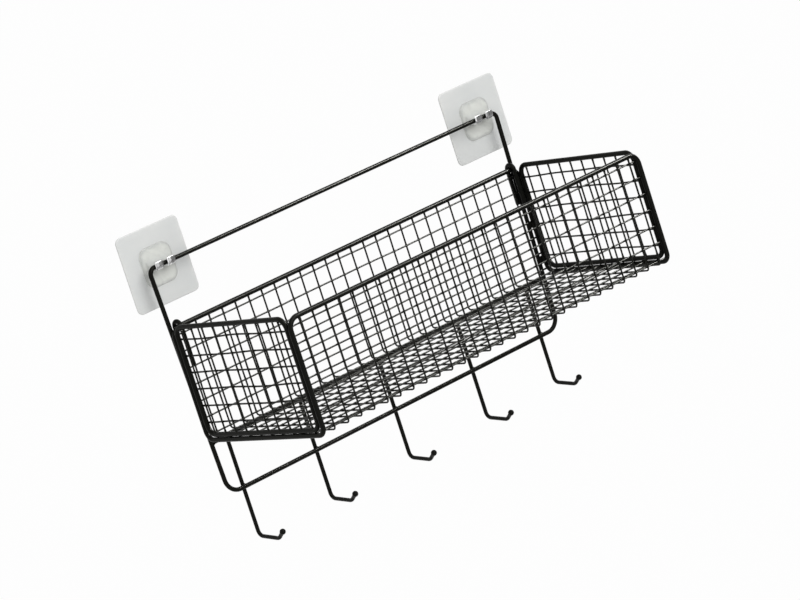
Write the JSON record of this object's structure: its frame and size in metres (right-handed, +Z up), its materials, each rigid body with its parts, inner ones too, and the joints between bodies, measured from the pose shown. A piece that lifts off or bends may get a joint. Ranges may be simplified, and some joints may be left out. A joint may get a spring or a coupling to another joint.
{
  "type": "wall-hung wire basket",
  "caption": "Open-topped welded-wire basket on a bent-wire hanger loop, with ball-tipped utensil hooks below, hung on the prongs of adhesive film wall hooks.",
  "frame": {"origin": "on the wall, midway between the two adhesive pads, at the height of the hanger loop's top bar", "axes": "+X along the wall to the right as seen from the room, +Y into the wall, +Z up"},
  "size_m": [0.406, 0.1621, 0.2617],
  "materials": {
    "black_coat": "satin black powder coat on steel wire",
    "clear_film": "frosted clear film",
    "clear_seat": "clear moulded plastic",
    "gel_adhesive": "clear adhesive gel",
    "chrome_prong": "polished chrome"
  },
  "bodies": {
    "wall_hooks": {"adhesive_left": "gel_adhesive", "wall_film_left": "clear_film", "hook_seat_left": "clear_seat", "prong_hook_left": "chrome_prong", "adhesive_right": "gel_adhesive", "wall_film_right": "clear_film", "hook_seat_right": "clear_seat", "prong_hook_right": "chrome_prong"},
    "basket": {"hanger_loop": "black_coat", "cross_rail": "black_coat", "rim_clip_left": "black_coat", "rim_clip_right": "black_coat", "main_rim": "black_coat", "side_rim_left": "black_coat", "side_rim_right": "black_coat", "mesh_front": "black_coat", "mesh_base": "black_coat", "mesh_back": "black_coat", "mesh_side_left": "black_coat", "mesh_side_right": "black_coat", "utensil_hook_1": "black_coat", "utensil_hook_2": "black_coat", "utensil_hook_3": "black_coat", "utensil_hook_4": "black_coat", "utensil_hook_5": "black_coat"}
  },
  "joints": [
    {"name": "basket_swing", "type": "hinge", "parent": "wall_hooks", "child": "basket", "pos_m": [0, -0.01, 0], "axis": [-1, 0, 0], "range_deg": [0, 45]}
  ]
}
